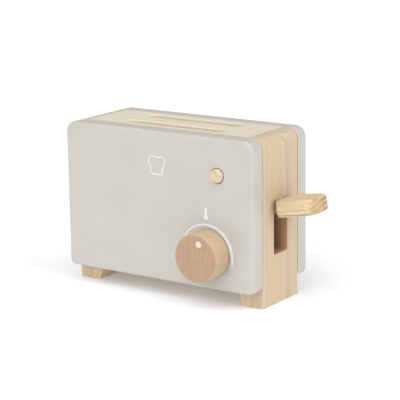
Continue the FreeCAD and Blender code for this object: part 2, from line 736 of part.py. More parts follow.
rounding(handle_body, handle_corners, "{handle_edge}", on_handle_outline)
mortise = block("mortise", "({tenon_length} + {overcut} + {glue_fit})", "({arm_width} + 2 * {glue_fit})",
                "({arm_thick} + 2 * {glue_fit})", "(%s - {overcut})" % HANDLE_START,
                "(-{arm_width} / 2 - {glue_fit})", "(-{arm_thick} / 2 - {glue_fit})")
handle_cuts = grouped("handle_cuts", [mortise, dowel_hole])
keep(on_arm(cut("lever_handle", handle_body, handle_cuts)), "lever_handle")
keep(on_arm(grouped("handle_dowel_group", [
    rod("handle_dowel_rod", "{handle_dowel_radius}", "{handle_dowel_length}", "Z",
        HANDLE_DOWEL_AT, "0", HANDLE_DOWEL_LOW)])), "handle_dowel")
keep(on_arm(grouped("keeper_group", [
    rod("keeper_disc", "{keeper_radius}", "{keeper_thick}", "Y",
        KEEPER_AT, "-{arm_width} / 2", "0")])), "keeper_plate")


# ---------------------------------------------------------------- toast carrier

BAR_SPAN = "({bread_spacing} + {rest_width})"

for label, centre in zip(("crossbar_left", "crossbar_right"), BAR_CENTRES):
    blank = block(label + "_blank", "{crossbar_length}", BAR_SPAN, "{crossbar_thick}",
                  "(%s - {crossbar_length} / 2)" % centre, "-%s / 2" % BAR_SPAN, "{arm_thick} / 2")
    holes = grouped(label + "_cuts", [bar_screw_holes, rest_screw_holes])
    keep(on_arm(cut(label, blank, holes)), label)

for label, side in (("toast_rest_front", "-"), ("toast_rest_back", "")):
    middle = side + "{bread_spacing} / 2"
    blank = block(label + "_blank", REST_LENGTH, "{rest_width}", "{rest_thick}",
                  REST_START, "(%s - {rest_width} / 2)" % middle, BAR_TOP)
    channel = block(label + "_channel", "(%s + 2 * {overcut})" % REST_LENGTH, "{channel_width}",
                    "({channel_depth} + {overcut})", "(%s - {overcut})" % REST_START,
                    "(%s - {channel_width} / 2)" % middle, REST_FLOOR)
    holes = grouped(label + "_cuts", [channel, rest_screw_holes])
    keep(on_arm(cut(label, blank, holes)), label)


# ---------------------------------------------------------------- springs and the peg

WIRE_FLATS = 8


def coil(radius, wire, turns, length):
    """A coil spring that stands on z = 0 and is length tall over the wire.

    Each half turn is a half circle in a plane tilted about Y, so the half turns meet along Y with no kink.
    The wire's section has flats instead of a circle, to keep its faces light.
    """
    centre = radius - wire
    rise = (length - 2 * wire) / turns / 2
    halves = []
    for half in range(int(2 * turns)):
        side = 1 if half % 2 == 0 else -1
        low = wire + half * rise
        start = FreeCAD.Vector(side * centre, 0, low)
        end = FreeCAD.Vector(-side * centre, 0, low + rise)
        reach = start.distanceToPoint(end) / 2
        halves.append(Part.Arc(start, FreeCAD.Vector(0, side * reach, low + rise / 2), end).toShape())
    corners = []
    for index in range(WIRE_FLATS + 1):
        turn = 2 * math.pi * (index + 0.5) / WIRE_FLATS
        corners.append(FreeCAD.Vector(centre + wire * math.cos(turn), 0, wire + wire * math.sin(turn)))
    return Part.Wire(halves).makePipeShell([Part.makePolygon(corners)], True, False)


keep(rod("spring_peg", "{peg_radius}", "({peg_socket} + {peg_height})", "Z",
         "{spring_offset}", "0", "(%s - {peg_socket})" % FLOOR_TOP), "spring_peg")

floor_top = evaluate(FLOOR_TOP)
spring_low_side = value("spring_offset") - value("spring_radius") + evaluate(PIVOT_REACH)
arm_under = (value("pivot_height") + spring_low_side * evaluate(REST_TAN)
             - value("arm_thick") / 2 / evaluate(REST_COS))
lift_spring = doc.addObject("Part::Feature", "lift_spring")
lift_spring.Shape = coil(value("spring_radius"), value("spring_wire"), value("spring_turns"),
                         arm_under - floor_top - value("face_fit"))
keep(at(lift_spring, "{spring_offset}", "0", FLOOR_TOP), "lift_spring")

return_spring = doc.addObject("Part::Feature", "release_spring")
return_spring.Shape = coil(value("return_spring_radius"), value("return_spring_wire"),
                           value("return_spring_turns"), value("catch_face_gap") - value("face_fit"))
return_spring.Placement = FreeCAD.Placement(FreeCAD.Vector(), FreeCAD.Rotation(FreeCAD.Vector(1, 0, 0), -90))
keep(at(return_spring, BUTTON_X, FRONT_INNER, "(%s - {return_spring_drop})" % CATCH_PIVOT),
     "release_spring")


# ---------------------------------------------------------------- dial

def turned(label, x, z, corners):
    """A body turned about an axis along Y; corners are radius and depth expressions."""
    body = new_body(label + "_body")
    at(body, x, "0", z)
    outline = sketch_on(body, label + "_profile", "XY_Plane")
    polygon(outline, corners)
    feature = body.newObject("PartDesign::Revolution", label + "_turn")
    feature.Profile = outline
    feature.ReferenceAxis = (outline, ["V_Axis"])
    feature.Angle = 360
    return body, feature


DIAL_FRONT = "(%s - {dial_thick})" % DIAL_BACK
DIAL_BORE_END = "(%s - {dial_bore_depth})" % DIAL_BACK
AXLE_INNER_END = "(%s + {axle_inner_reach})" % FRONT_INNER
AXLE_HOLE_RADIUS = "({axle_radius} + {glue_fit})"

dial_body, dial_turn = turned("dial_knob", DIAL_X, "{dial_height}", [
    ("0", DIAL_FRONT), ("{dial_radius}", DIAL_FRONT), ("{dial_radius}", DIAL_BACK),
    (AXLE_HOLE_RADIUS, DIAL_BACK), (AXLE_HOLE_RADIUS, DIAL_BORE_END), ("0", DIAL_BORE_END)])
dial_front = evaluate(DIAL_FRONT)
dial_back = evaluate(DIAL_BACK)
dial_rim = value("dial_radius")


def on_rim(point, depth):
    """True for a point of the dial's own frame on its rim at a depth."""
    return near(point.y, depth) and near(math.hypot(point.x, point.z), dial_rim)


front_rim = rounding(dial_body, dial_turn, "{dial_front_edge}", lambda p: on_rim(p, dial_front))
rounding(dial_body, front_rim, "{dial_back_edge}", lambda p: on_rim(p, dial_back))
keep(dial_body, "dial_knob")

keep(rod("knob_axle", "{axle_radius}", "(%s - %s - {glue_fit})" % (AXLE_INNER_END, DIAL_BORE_END), "Y",
         DIAL_X, "(%s + {glue_fit})" % DIAL_BORE_END, "{dial_height}"), "knob_axle")


def ring(label, inner, outer, thick, x, y, z):
    """A ring on an axis along Y, from y towards the back."""
    disc = rod(label + "_disc", outer, thick, "Y", x, y, z)
    hole = rod(label + "_hole", inner, "(%s + 2 * {overcut})" % thick, "Y", x, "(%s - {overcut})" % y, z)
    return keep(cut(label, disc, hole), label)


ring("knob_washer", "({axle_radius} + {running_fit})", "{washer_radius}", "{washer_thick}",
     DIAL_X, "(%s + ({dial_gap} - {washer_thick}) / 2)" % DIAL_BACK, "{dial_height}")
ring("knob_retainer", AXLE_HOLE_RADIUS, "{retainer_radius}", "{retainer_thick}",
     DIAL_X, "(%s + {face_fit})" % FRONT_INNER, "{dial_height}")


# ---------------------------------------------------------------- button, collar and catch

BUTTON_END = "(%s - {seat_fit})" % CATCH_FRONT
button_body, button_turn = turned("release_button", BUTTON_X, BUTTON_HEIGHT, [
    ("0", BUTTON_FRONT), ("{button_radius}", BUTTON_FRONT),
    ("{button_radius}", BUTTON_END), ("0", BUTTON_END)])


def on_button_rim(point, depth):
    """True for a point of the button's own frame on its rim at a depth."""
    return near(point.y, depth) and near(math.hypot(point.x, point.z), value("button_radius"))


button_front = evaluate(BUTTON_FRONT)
button_end = evaluate(BUTTON_END)
domed = rounding(button_body, button_turn, "{button_dome}", lambda p: on_button_rim(p, button_front))
rounding(button_body, domed, "{button_nose}", lambda p: on_button_rim(p, button_end))
keep(button_body, "release_button")
ring("button_collar", "({button_radius} + {glue_fit})", "{collar_radius}", "{collar_thick}",
     BUTTON_X, COLLAR_FRONT, BUTTON_HEIGHT)

BRACKET_WIDTH = "({catch_width} + 2 * {face_fit} + 2 * {bracket_ear})"
bracket_blank = block("bracket_blank", BRACKET_WIDTH, "{bracket_reach}", "{bracket_height}",
                      BRACKET_LEFT, FRONT_INNER, "(%s - {bracket_height} / 2)" % CATCH_PIVOT)
bracket_gap = block("bracket_gap", "({catch_width} + 2 * {face_fit})", "{bracket_reach}",
                    "({bracket_height} + 2 * {overcut})", "(%s - {face_fit})" % CATCH_LEFT,
                    "(%s + {bracket_base})" % FRONT_INNER,
                    "(%s - {bracket_height} / 2 - {overcut})" % CATCH_PIVOT)
bracket_bore = rod("bracket_bore", "({catch_pin_radius} + {glue_fit} / 2)",
                   "(%s + 2 * {overcut})" % BRACKET_WIDTH, "X",
                   "(%s - {overcut})" % BRACKET_LEFT, CATCH_MID, CATCH_PIVOT)
bracket_cuts = grouped("bracket_cuts", [bracket_gap, bracket_bore])
keep(cut("release_bracket", bracket_blank, bracket_cuts), "release_bracket")
keep(rod("release_pivot_pin", "{catch_pin_radius}", BRACKET_WIDTH, "X",
         BRACKET_LEFT, CATCH_MID, CATCH_PIVOT), "release_pivot_pin")

CATCH_HIGH = "(%s + {catch_head})" % BUTTON_HEIGHT
catch_blank = block("catch_blank", "{catch_width}", "{catch_thick}", "(%s - %s)" % (CATCH_HIGH, CATCH_LOW),
                    CATCH_LEFT, CATCH_FRONT, CATCH_LOW)
catch_bore = rod("catch_bore", "({catch_pin_radius} + {running_fit})", "({catch_width} + 2 * {overcut})", "X",
                 "(%s - {overcut})" % CATCH_LEFT, CATCH_MID, CATCH_PIVOT)
CATCH_BACK = "(%s + {catch_thick})" % CATCH_FRONT
magnet_hole = rod("magnet_hole", "({magnet_radius} + {glue_fit})", "({magnet_socket} + {overcut})", "Y",
                  BUTTON_X, "(%s - {magnet_socket})" % CATCH_BACK, MAGNET_HEIGHT)
catch_cuts = grouped("catch_cuts", [catch_bore, magnet_hole])
keep(cut("release_lever", catch_blank, catch_cuts), "release_lever")
keep(rod("latch_magnet", "{magnet_radius}",
         "(-{arm_width} / 2 - {magnet_gap} - %s + {magnet_socket})" % CATCH_BACK, "Y",
         BUTTON_X, "(%s - {magnet_socket})" % CATCH_BACK, MAGNET_HEIGHT), "latch_magnet")


# ---------------------------------------------------------------- checks and export

doc.recompute()

for item in doc.Objects:
    if "Invalid" in item.State or "Error" in item.State:
        raise RuntimeError("%s failed: %s" % (item.Label, item.State))
for item in nodes:
    if item.Shape.isNull() or not item.Shape.isValid() or not item.Shape.Solids:
        raise RuntimeError("%s has no valid shape" % item.Label)

os.makedirs("parts", exist_ok=True)
for item in nodes:
    item.Shape.exportStep("parts/%s.step" % item.Label)
    box = item.Shape.BoundBox
    print("%-18s %2d solids %9.1f mm3  x %7.2f..%7.2f  y %7.2f..%7.2f  z %7.2f..%7.2f" % (
        item.Label, len(item.Shape.Solids), item.Shape.Volume,
        box.XMin, box.XMax, box.YMin, box.YMax, box.ZMin, box.ZMax))
print("%d nodes" % len(nodes))
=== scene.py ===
"""Looks of a wooden play toaster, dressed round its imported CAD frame.

The frame's own nodes are the case, the lever, the dial, the push button and the release
catch, and each takes a procedural finish here. The printed marks and the wire of the two
springs are worked out below. Sizes in the classes are millimetres and meshes are metres.
X runs to the right of the front face, Y to the back and Z up from the floor.
"""

from __future__ import annotations

import json
import logging
import math
from dataclasses import dataclass
from enum import Enum

import bpy
import numpy as np
from mathutils import Euler, Matrix, Vector

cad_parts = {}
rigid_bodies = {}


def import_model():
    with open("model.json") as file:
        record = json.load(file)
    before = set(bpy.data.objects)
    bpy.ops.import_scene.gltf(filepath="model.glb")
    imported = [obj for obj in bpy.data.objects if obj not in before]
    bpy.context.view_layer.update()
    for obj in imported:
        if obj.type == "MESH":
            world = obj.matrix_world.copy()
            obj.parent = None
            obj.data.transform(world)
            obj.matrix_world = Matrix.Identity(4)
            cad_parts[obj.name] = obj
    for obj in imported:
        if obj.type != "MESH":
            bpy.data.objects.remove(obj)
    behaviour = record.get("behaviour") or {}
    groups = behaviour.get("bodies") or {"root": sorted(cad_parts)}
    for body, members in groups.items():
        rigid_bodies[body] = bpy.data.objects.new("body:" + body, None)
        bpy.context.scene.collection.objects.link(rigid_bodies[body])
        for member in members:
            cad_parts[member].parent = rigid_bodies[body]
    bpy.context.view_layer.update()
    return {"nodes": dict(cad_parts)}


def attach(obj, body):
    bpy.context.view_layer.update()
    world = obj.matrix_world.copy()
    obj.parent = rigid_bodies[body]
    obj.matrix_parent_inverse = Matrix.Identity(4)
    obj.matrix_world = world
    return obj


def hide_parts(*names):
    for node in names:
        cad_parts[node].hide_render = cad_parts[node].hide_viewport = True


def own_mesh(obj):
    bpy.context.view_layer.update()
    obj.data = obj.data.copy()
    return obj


for stray in list(bpy.data.objects):
    bpy.data.objects.remove(stray)
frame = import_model()

Tree = bpy.types.NodeTree
Socket = bpy.types.NodeSocket
Point = tuple[float, float, float]

MM = 0.001
WHITE = "#ffffff"
WAVE_PERIOD = math.pi / 10  # the Wave texture's ring spacing at scale 1
MIX_FACTOR, MIX_A, MIX_B, MIX_RESULT = 0, 6, 7, 2  # the colour sockets of a Mix node
NOISE_LOW, NOISE_HIGH = 0.3, 0.7  # what the values of a noise mostly lie between
LATE_PEAK = 0.9  # where in a year's ring the late wood is darkest
# What is left of the coordinate along the grain in each of a wood's patterns.
STRETCH = {"sway": 0.12, "band": 0.04, "fibre": 0.03, "fleck": 0.2}
FILM = 0.08  # a printed film's thickness in mm, thicker than real ink so that it shows
SECTION_POINTS, SECTION_POWER = 16, 0.3  # the section of a printed stroke
THINNEST = 0.02  # half the width in mm of a stroke's very tip

log = logging.getLogger("toaster")


# ---------------------------------------------------------------- nodes


def linear(colour: str) -> tuple[float, float, float, float]:
    """Turn an sRGB hex colour to linear light.

    A channel up to 0.04045 is divided by 12.92; any other is (c + 0.055) / 1.055 to the
    power 2.4.

    Args:
        colour: The colour as "#rrggbb".

    Returns:
        Linear red, green, blue and an alpha of 1.
    """
    channel = np.array([int(colour[at:at + 2], 16) for at in (1, 3, 5)]) / 255
    light = np.where(channel <= 0.04045, channel / 12.92, ((channel + 0.055) / 1.055) ** 2.4)
    return (*light.tolist(), 1.0)


def add_node(
    tree: Tree, kind: str, settings: dict | None = None, links: dict | None = None
) -> bpy.types.Node:
    """Add a shader node with its settings and links.

    Args:
        tree: The material's node tree.
        kind: The node's type without its ShaderNode prefix.
        settings: Values by attribute name, socket name or socket number. "ramp" holds the
            (place, hex colour) pairs of a colour ramp.
        links: Output sockets by the name or number of the input that they feed.

    Returns:
        The new node.
    """
    node = tree.nodes.new("ShaderNode" + kind)
    for key, setting in (settings or {}).items():
        if key == "ramp":
            marks = node.color_ramp.elements
            while len(marks) < len(setting):
                marks.new(0.5)
            for mark, (place, colour) in zip(marks, setting):
                mark.position, mark.color = place, linear(colour)
        elif isinstance(key, str) and hasattr(node, key):
            setattr(node, key, setting)
        else:
            node.inputs[key].default_value = setting
    for key, output in (links or {}).items():
        tree.links.new(node.inputs[key], output)
    return node


class Blend(Enum):
    """How a tint meets the colour under it, by the Mix node's own names."""

    COVER = "MIX"
    DARKEN = "MULTIPLY"


@dataclass(frozen=True)
class Layer:
    """A tint laid over a colour by a pattern.

    As the pattern goes through the given range, the tint's share goes from its first to its
    second value, and it keeps to that beyond.
    """

    tint: str
    given: tuple[float, float]
    share: tuple[float, float]
    blend: Blend = Blend.COVER

    def over(self, tree: Tree, colour: Socket, pattern: Socket) -> Socket:
        """Lay the tint over a colour.

        Args:
            tree: The material's node tree.
            colour: The colour under it.
            pattern: The value that the tint's share follows.

        Returns:
            The tinted colour.
        """
        share = add_node(tree, "MapRange", {
            "From Min": self.given[0], "From Max": self.given[1],
            "To Min": self.share[0], "To Max": self.share[1],
        }, {"Value": pattern}).outputs["Result"]
        return add_node(tree, "Mix", {
            "data_type": "RGBA", "blend_type": self.blend.value, MIX_B: linear(self.tint),
        }, {MIX_FACTOR: share, MIX_A: colour}).outputs[MIX_RESULT]


@dataclass(frozen=True)
class Feel:
    """How a surface takes the light: its sheen, and a relief too fine to model.

    As a noise rises, the roughness goes from roughness - swing to roughness + swing. The
    relief is its real height in millimetres, and the strength is how sharply it shows.
    """

    roughness: float
    swing: float
    relief: float = 0.0
    strength: float = 0.0

    def sockets(
        self, tree: Tree, noise: Socket, height: Socket | None = None
    ) -> dict[str, Socket]:
        """Work out the sheen and the relief.

        Args:
            tree: The material's node tree.
            noise: What the roughness wanders with.
            height: What raises the surface, or None where it is even.

        Returns:
            The outputs for the shader's roughness and, with a height, for its normal.
        """
        sheen = add_node(tree, "MapRange", {
            "From Min": NOISE_LOW, "From Max": NOISE_HIGH,
            "To Min": self.roughness - self.swing, "To Max": self.roughness + self.swing,
        }, {"Value": noise})
        given = {"Roughness": sheen.outputs["Result"]}
        if height is not None:
            bump = add_node(tree, "Bump", {
                "Strength": self.strength, "Distance": self.relief * MM,
            }, {"Height": height})
            given["Normal"] = bump.outputs["Normal"]
        return given


# ---------------------------------------------------------------- finishes


@dataclass(frozen=True)
class Finish:
    """What a surface is made of and how it was worked; each kind draws its own patterns."""

    label: str

    def material(self) -> bpy.types.Material:
        """Make the finish's material.

        Returns:
            A material whose shader has what the finish gives for its sockets.
        """
        made = bpy.data.materials.new(self.label)
        made.use_nodes = True
        tree = made.node_tree
        shader = tree.nodes["Principled BSDF"]
        for socket, given in self.sockets(tree).items():
            if isinstance(given, bpy.types.NodeSocket):
                tree.links.new(shader.inputs[socket], given)
            else:
                shader.inputs[socket].default_value = given
        return made

    def sockets(self, tree: Tree) -> dict[str, Socket | float | tuple]:
        """Give a value or an output for each of the shader's sockets that the finish sets."""
        raise NotImplementedError


class Grain(Enum):
    """The way a piece's fibres run, as the turn that brings them to the pattern's Z."""

    LENGTH = (0.0, -math.pi / 2, 0.0)
    DEPTH = (math.pi / 2, 0.0, 0.0)
    HEIGHT = (0.0, 0.0, 0.0)


@dataclass(frozen=True)
class Species:
    """A timber: its colours, and the real sizes of its figure in millimetres.

    Early and late wood make the year rings, blush and gold are broad tints along the board,
    and the end grain is the whole figure times its own tint. The sizes are those of a year
    ring, a broad band, a fibre and a fleck. Late_share is how much of a year is late wood,
    and fleck_share is how strongly the flecks show.
    """

    early: str
    late: str
    blush: str
    gold: str
    fleck: str
    end: str
    ring: float
    late_share: float
    band: float
    fibre: float
    fleck_width: float
    fleck_share: float
    roughness: float


# Plantation pine, planed and sanded, under a matt water lacquer: a quiet cream tan with broad
# pinkish and yellowish bands, a faint line for each year, end grain gone a little grey, and
# a dry, even sheen.
PINE = Species(
    early="#cfbea6", late="#c2a98a", blush="#ceb297", gold="#d0bb99", fleck="#b3946c",
    end="#f5fcff", ring=5.2, late_share=0.5, band=16.0, fibre=0.9, fleck_width=2.4,
    fleck_share=0.10, roughness=0.58,
)
# The same pine on the top board, paler and greyer: the sheen of the overhead light at a low
# view, painted into its colour.
PINE_WITH_PAINTED_SHEEN = Species(
    early="#ddd6c6", late="#d0c5ae", blush="#dbcdba", gold="#ddd5ba", fleck="#bda88a",
    end="#f0e6da", ring=4.6, late_share=0.4, band=9.0, fibre=0.9, fleck_width=2.4,
    fleck_share=0.08, roughness=0.5,
)
# The pine of the foot blocks with painted light: lighter and warmer, to lift them out of the
# shade under the panels.
PINE_PAINTED_LIGHTER = Species(
    early="#e8d6bd", late="#d8bd98", blush="#e4caa8", gold="#e8d4ae", fleck="#b3946c",
    end="#f8f2e8", ring=5.2, late_share=0.45, band=9.0, fibre=0.9, fleck_width=2.4,
    fleck_share=0.10, roughness=0.58,
)
# Young beech for the grip: straw coloured, with a clear brown line for each year.
STRAW_BEECH = Species(
    early="#dfcdb0", late="#9a734a", blush="#cbae8a", gold="#dfca9f", fleck="#a98458",
    end="#f2e8d8", ring=4.0, late_share=0.55, band=8.0, fibre=0.8, fleck_width=1.5,
    fleck_share=0.06, roughness=0.5,
)
# European beech, turned and sanded, under a satin lacquer: warm tan with faint rings and
# short brown ray flecks; its end grain drinks the lacquer and dries a little redder.
BEECH = Species(
    early="#c5b094", late="#b89e7d", blush="#c2a484", gold="#c7b088", fleck="#946f4b",
    end="#e8dad8", ring=4.2, late_share=0.5, band=9.0, fibre=0.8, fleck_width=1.2,
    fleck_share=0.16, roughness=0.46,
)
# The button's paler billet: cream, with brown specks on its end grain.
CREAM_BEECH = Species(
    early="#dfd1bd", late="#cdb596", blush="#dbc5ac", gold="#dfd0b0", fleck="#8f6540",
    end="#f8f4ec", ring=2.2, late_share=0.5, band=6.0, fibre=0.7, fleck_width=1.1,
    fleck_share=0.85, roughness=0.55,
)


class Inward(Enum):
    """The axis that a cut follows into a board."""

    ALONG_X = "X"
    ALONG_Z = "Z"


@dataclass(frozen=True)
class PaintedSlotShading:
    """Painted light and shade on the walls of a slot cut in a board.

    Low and high are the corners of a box round them. Along the axis inward the mouth's
    colour at mouth_at turns to the deep one at deep_at, and the two together cover the
    wood's own colour by their share.
    """

    low: Point
    high: Point
    inward: Inward
    deep_at: float
    mouth_at: float
    deep_shade: str
    mouth: str
    share: float

    def over(self, tree: Tree, colour: Socket, place: Socket) -> Socket:
        """Paint light and shade onto the walls.

        A place is inside the box where |place - middle| / half is under 1 on every axis, so
        the largest of the three is compared with 1.

        Args:
            tree: The material's node tree.
            colour: The wood's own colour.
            place: The place on the toy, in metres.

        Returns:
            The colour with the painted light and shade on the walls.
        """
        low, high = Vector(self.low) * MM, Vector(self.high) * MM
        away = add_node(tree, "VectorMath", {"operation": "SUBTRACT", 1: (low + high) / 2},
                        {0: place}).outputs[0]
        away = add_node(tree, "VectorMath", {"operation": "DIVIDE", 1: (high - low) / 2},
                        {0: away}).outputs[0]
        away = add_node(tree, "VectorMath", {"operation": "ABSOLUTE"}, {0: away}).outputs[0]
        away = add_node(tree, "SeparateXYZ", {}, {0: away}).outputs
        widest = away["X"]
        for other in (away["Y"], away["Z"]):
            widest = add_node(tree, "Math", {"operation": "MAXIMUM"},
                              {0: widest, 1: other}).outputs[0]
        inside = add_node(tree, "Math", {"operation": "LESS_THAN", 1: 1.0}, {0: widest})
        cover = add_node(tree, "Math", {"operation": "MULTIPLY", 1: self.share},
                         {0: inside.outputs[0]}).outputs[0]
        depth = add_node(tree, "SeparateXYZ", {}, {0: place}).outputs[self.inward.value]
        depth = add_node(tree, "MapRange", {
            "From Min": self.deep_at * MM, "From Max": self.mouth_at * MM,
        }, {"Value": depth}).outputs["Result"]
        tint = add_node(tree, "ValToRGB", {"ramp": [(0.0, self.deep_shade), (1.0, self.mouth)]},
                        {"Fac": depth}).outputs["Color"]
        return add_node(tree, "Mix", {"data_type": "RGBA"},
                        {MIX_FACTOR: cover, MIX_A: colour, MIX_B: tint}).outputs[MIX_RESULT]


# Painted shade in the lever slot: its walls are tinted red brown at the mouth and darker within.
LEVER_SLOT_SHADE = PaintedSlotShading(
    low=(64.0, -0.6, 44.2), high=(79.2, 22.0, 92.7), inward=Inward.ALONG_X,
    deep_at=66.0, mouth_at=78.0, deep_shade="#9a6745", mouth="#d5a27a", share=0.85,
)
# Painted light and shade on the bread slots' walls: paler and yellower than the top near the
# mouth, brown deeper down.
BREAD_SLOT_LIGHT_AND_SHADE = PaintedSlotShading(
    low=(-75.0, -11.0, 134.0), high=(34.0, 33.0, 149.2), inward=Inward.ALONG_Z,
    deep_at=141.0, mouth_at=148.4, deep_shade="#8f7048", mouth="#f3e8ca", share=0.85,
)


@dataclass(frozen=True)
class Wood(Finish):
    """One cut of timber: how its grain runs and where the tree's heart lies.

    The rings are circles about the heart's line, swayed by a slow noise, and the bands,
    fibres and flecks are noises drawn out along the grain: their coordinate along it is
    shortened to a share. The heart, the sway and its length are millimetres, and the lean is
    degrees.
    """

    species: Species
    grain: Grain
    heart: Point
    lean: tuple[float, float] = (0.0, 0.0)
    sway: float = 2.0
    sway_length: float = 125 / 3
    slot_shading: PaintedSlotShading | None = None

    def sockets(self, tree: Tree) -> dict[str, Socket | float | tuple]:
        """Draw the timber.

        The year rings are the ground. Bands, fibres, flecks, end grain and the painted light and
        shade on slot walls are laid over it in turn, and the rings at half their height raise it
        with the fibres.

        Args:
            tree: The material's node tree.

        Returns:
            The colour, the roughness and the normal.
        """
        kind = self.species
        turn = Euler([a + math.radians(b) for a, b in zip(self.grain.value, (*self.lean, 0))])
        heart = turn.to_matrix() @ Vector(self.heart) * -MM
        source = add_node(tree, "TexCoord").outputs
        place = add_node(tree, "Mapping", {"Rotation": turn, "Location": heart},
                         {"Vector": source["Object"]}).outputs["Vector"]
        drawn = {
            pattern: add_node(tree, "VectorMath", {"operation": "MULTIPLY", 1: (1.0, 1.0, share)},
                              {0: place}).outputs[0]
            for pattern, share in STRETCH.items()
        }
        rings = self.rings(tree, place, drawn["sway"])
        bands = add_node(tree, "TexNoise", {"Scale": 1 / (kind.band * MM), "Detail": 1.0},
                         {"Vector": drawn["band"]}).outputs["Color"]
        bands = add_node(tree, "SeparateColor", {}, {"Color": bands}).outputs
        fibres = add_node(tree, "TexNoise", {"Scale": 1 / (kind.fibre * MM), "Detail": 3.0},
                          {"Vector": drawn["fibre"]}).outputs["Fac"]
        flecks = add_node(tree, "TexVoronoi", {"Scale": 1 / (kind.fleck_width * MM)},
                          {"Vector": drawn["fleck"]}).outputs["Distance"]
        along = turn.to_matrix().transposed() @ Vector((0.0, 0.0, 1.0))
        facing = add_node(tree, "VectorMath", {"operation": "DOT_PRODUCT", 1: along},
                          {0: source["Normal"]}).outputs["Value"]
        facing = add_node(tree, "Math", {"operation": "ABSOLUTE"}, {0: facing}).outputs[0]
        colour = add_node(tree, "ValToRGB", {"ramp": [
            (0.0, kind.early), (1 - kind.late_share, kind.early),
            (LATE_PEAK, kind.late), (1.0, kind.early),
        ]}, {"Fac": rings}).outputs["Color"]
        for pattern, layer in (
            (bands["Red"], Layer(kind.blush, given=(0.45, 0.6), share=(0.0, 0.8))),
            (bands["Green"], Layer(kind.gold, given=(0.45, 0.6), share=(0.0, 0.8))),
            (fibres, Layer(kind.late, given=(0.35, 0.6), share=(0.4, 0.0))),
            (flecks, Layer(kind.fleck, given=(0.1, 0.3), share=(kind.fleck_share, 0.0))),
            (facing, Layer(kind.end, given=(0.55, 0.9), share=(0.0, 1.0), blend=Blend.DARKEN)),
        ):
            colour = layer.over(tree, colour, pattern)
        # Painted light and shade on the walls of the board's cut slots.
        if self.slot_shading:
            colour = self.slot_shading.over(tree, colour, source["Object"])
        height = add_node(tree, "Math", {"operation": "MULTIPLY_ADD", 1: 0.5},
                          {0: rings, 2: fibres}).outputs[0]
        feel = Feel(kind.roughness, swing=-0.07, relief=0.04, strength=0.5)
        return {"Base Color": colour, **feel.sockets(tree, fibres, height)}

    def rings(self, tree: Tree, place: Socket, drawn: Socket) -> Socket:
        """Draw the year rings round the heart's line, which a noise sways.

        The line is moved by (noise - 1/2) * 4 * sway, which mostly keeps within the sway.

        Args:
            tree: The material's node tree.
            place: The place in the tree, with the heart's line as Z.
            drawn: The same place, drawn out for the sway's noise.

        Returns:
            A value that rises from 0 to 1 across each year.
        """
        noise = add_node(tree, "TexNoise", {"Scale": 1 / (self.sway_length * MM), "Detail": 2.0},
                         {"Vector": drawn}).outputs["Color"]
        noise = add_node(tree, "VectorMath", {"operation": "SUBTRACT", 1: (0.5, 0.5, 0.5)},
                         {0: noise}).outputs[0]
        moved = add_node(tree, "VectorMath", {"operation": "SCALE", "Scale": 4 * self.sway * MM},
                         {0: noise}).outputs[0]
        swayed = add_node(tree, "VectorMath", {"operation": "ADD"}, {0: place, 1: moved})
        return add_node(tree, "TexWave", {
            "wave_type": "RINGS", "rings_direction": "Z", "wave_profile": "SAW",
            "Scale": WAVE_PERIOD / (self.species.ring * MM),
        }, {"Vector": swayed.outputs[0]}).outputs["Fac"]


@dataclass(frozen=True)
class Coating(Finish):
    """Paint or ink: one colour with a faint mottle, and the fine orange peel of a sprayed film.

    The mottle's clouds and the peel are given by their real size in millimetres. The raw
    colour shows where the film is left off, on faces that look towards the toy's hollow, and
    reaches a little onto the inner edges' rounding as painted shade at the joints; both lie
    between the given from and to depths in y.
    """

    colour: str
    mottle: str
    roughness: float
    peel: float
    cloud: float = 100 / 3
    raw_board_and_joint_shade: str = ""
    raw_and_shade_from: float = 0.0
    raw_and_shade_to: float = 0.0

    def sockets(self, tree: Tree) -> dict[str, Socket | float | tuple]:
        """Draw the film.

        Args:
            tree: The material's node tree.

        Returns:
            The colour, the roughness and the normal.
        """
        place = add_node(tree, "TexCoord").outputs["Object"]
        cloud = add_node(tree, "TexNoise", {"Scale": 1 / (self.cloud * MM), "Detail": 3.0},
                         {"Vector": place}).outputs["Fac"]
        colour = add_node(tree, "ValToRGB", {
            "ramp": [(NOISE_LOW, self.colour), (NOISE_HIGH, self.mottle)],
        }, {"Fac": cloud}).outputs["Color"]
        # Raw board on the inner faces, and painted shade of the joints on the inner edges'
        # rounding.
        if self.raw_board_and_joint_shade:
            depth = add_node(tree, "SeparateXYZ", {}, {"Vector": place}).outputs["Y"]
            inside = add_node(tree, "Math", {
                "operation": "COMPARE", 1: (self.raw_and_shade_from + self.raw_and_shade_to) / 2 * MM,
                2: (self.raw_and_shade_to - self.raw_and_shade_from) / 2 * MM,
            }, {0: depth}).outputs[0]
            colour = add_node(tree, "Mix", {"data_type": "RGBA", MIX_B: linear(self.raw_board_and_joint_shade)},
                              {MIX_FACTOR: inside, MIX_A: colour}).outputs[MIX_RESULT]
        peel = add_node(tree, "TexNoise", {"Scale": 1 / (self.peel * MM), "Detail": 2.0},
                        {"Vector": place}).outputs["Fac"]
        feel = Feel(self.roughness, swing=0.04, relief=0.02, strength=0.4)
        return {"Base Color": colour, **feel.sockets(tree, cloud, peel)}


